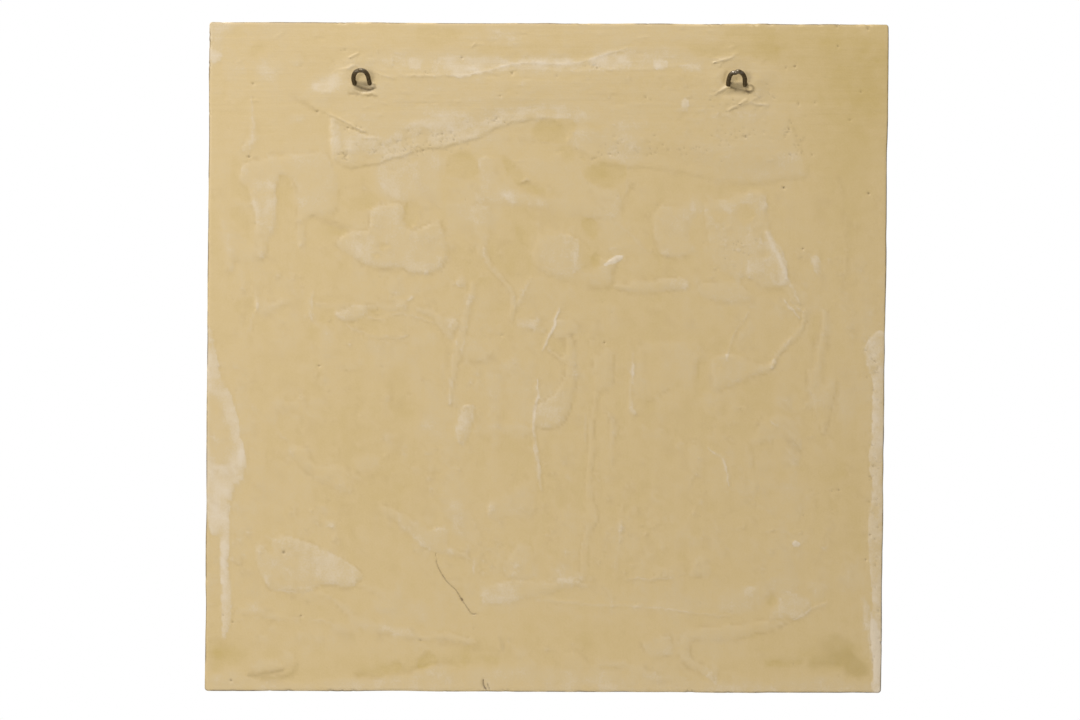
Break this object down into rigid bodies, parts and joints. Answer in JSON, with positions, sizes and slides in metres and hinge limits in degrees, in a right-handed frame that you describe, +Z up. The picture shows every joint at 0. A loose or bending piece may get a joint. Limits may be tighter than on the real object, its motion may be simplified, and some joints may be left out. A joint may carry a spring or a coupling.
{
  "type": "relief panel",
  "caption": "Square cast plaster relief panel with a carved rosette face and a plain flat back, hung from bent wire loops bedded in the back.",
  "frame": {"origin": "on the wall plane, midway between the two hanging loops and level with the underside of their crowns, where the hooks bear", "axes": "+Z up the wall, +Y from the panel into the wall, +X to the left of someone who faces the back. The carved face looks along -Y"},
  "size_m": [0.5727, 0.0503, 0.5618],
  "materials": {
    "plaster": "cast plaster under a thin tan shellac-like coat, satin, streaked and patchy",
    "wire": "dark brown rusted iron wire, worn bright on the crown"
  },
  "bodies": {
    "root": {"plaster_panel": "plaster", "left_hanging_loop": "wire", "right_hanging_loop": "wire"}
  },
  "joints": []
}
